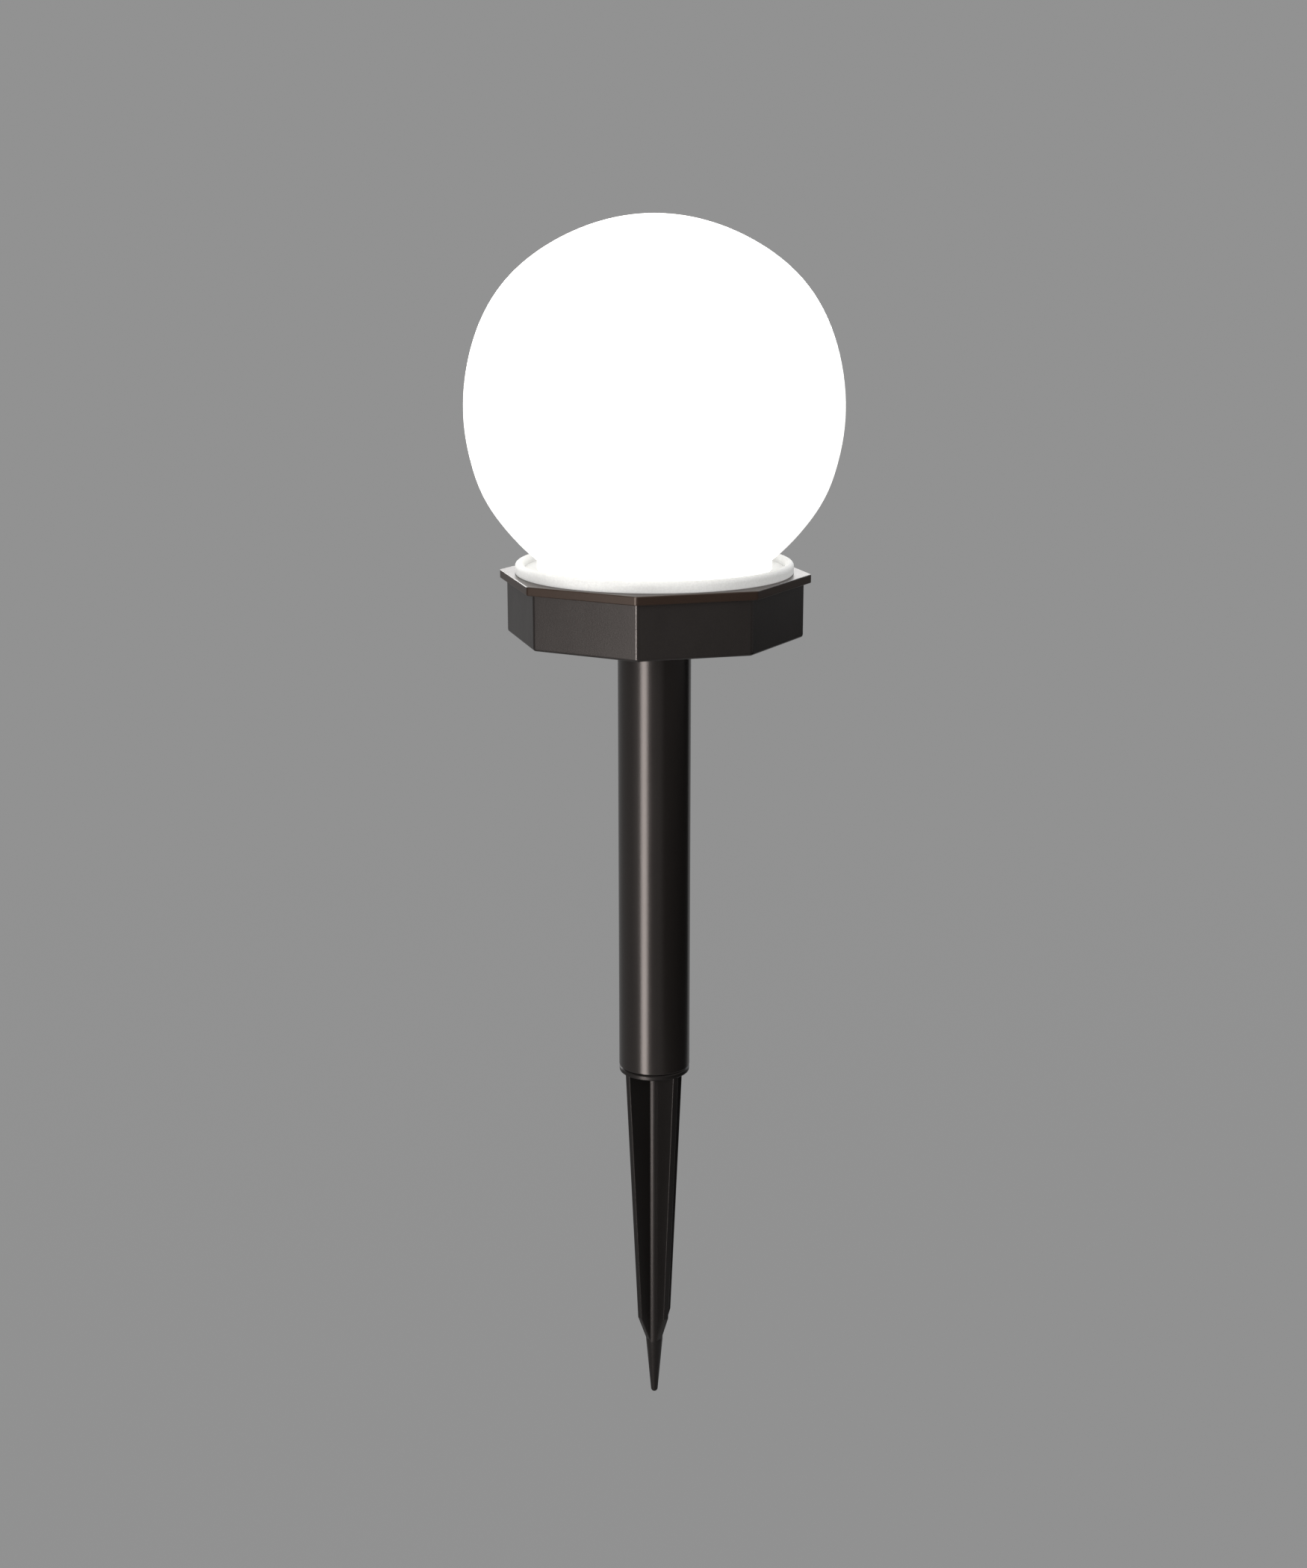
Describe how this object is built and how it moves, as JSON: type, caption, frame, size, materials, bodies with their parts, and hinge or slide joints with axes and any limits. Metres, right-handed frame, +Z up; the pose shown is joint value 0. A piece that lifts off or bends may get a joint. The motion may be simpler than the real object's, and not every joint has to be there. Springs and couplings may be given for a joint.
{
  "type": "garden globe light",
  "caption": "Solar garden light: glowing globe in a white dish on an octagonal housing, round pole and finned ground spike that pull apart, with panel, lamps, board and battery inside.",
  "frame": {"origin": "on the light's axis at the ground line, the underside of the spike's collar", "axes": "+Z up along the pole; one corner of the octagonal housing points along -Y; the spike's fins lie on the diagonals between X and Y"},
  "size_m": [0.12, 0.12, 0.4027],
  "materials": {
    "dark_plastic": "satin moulded plastic",
    "white_shade": "translucent, lit from inside",
    "white_plastic": "fine grained",
    "seal_rubber": "soft",
    "board_green": "lacquered board",
    "cell_blue": "polycrystalline",
    "clear_resin": "clear",
    "lamp_resin": "clear dome, lit",
    "zinc_steel": "zinc plated",
    "nickel": "nickel plated spring strip",
    "brass": "tinned",
    "black_plastic": "moulded",
    "foam_tape": "foam",
    "battery_sleeve": "shrink sleeve",
    "chip_black": "moulded epoxy",
    "coil_green": "lacquered",
    "capacitor_can": "sleeved can",
    "red_insulation": "wire insulation",
    "black_insulation": "wire insulation"
  },
  "bodies": {
    "spike": {"spike": "dark_plastic"},
    "pole": {"pole_tube": "dark_plastic"},
    "globe": {"globe": "white_shade"},
    "slider": {"switch_slider": "black_plastic"},
    "head": {"housing_tub": "dark_plastic", "housing_lid": "dark_plastic", "lid_gasket": "seal_rubber", "housing_screws": "zinc_steel", "globe_dish": "white_plastic", "dish_screws": "zinc_steel", "neck_seal": "seal_rubber", "solar_backing": "board_green", "solar_cells": "cell_blue", "solar_cover": "clear_resin", "led_board": "board_green", "leds": "lamp_resin", "led_board_screws": "zinc_steel", "switch_case": "zinc_steel", "switch_base": "black_plastic", "switch_terminals": "brass", "switch_screws": "zinc_steel", "control_board": "board_green", "control_chip": "chip_black", "storage_coil": "coil_green", "buffer_capacitor": "capacitor_can", "control_board_screws": "zinc_steel", "battery_holder": "black_plastic", "holder_tape": "foam_tape", "battery": "battery_sleeve", "contact_button_plate": "nickel", "contact_spring_plate": "nickel", "red_leads": "red_insulation", "black_leads": "black_insulation"}
  },
  "joints": [
    {"name": "pole_off_spike", "type": "slide", "parent": "spike", "child": "pole", "axis": [0, 0, 1], "range_m": [0, 0.024]},
    {"name": "housing_off_pole", "type": "slide", "parent": "pole", "child": "head", "axis": [0, 0, 1], "range_m": [0, 0.024]},
    {"name": "globe_off_dish", "type": "slide", "parent": "head", "child": "globe", "axis": [0, 0, 1], "range_m": [0, 0.014]},
    {"name": "switch_on", "type": "slide", "parent": "head", "child": "slider", "axis": [1, 0, 0], "range_m": [0, 0.003]}
  ]
}
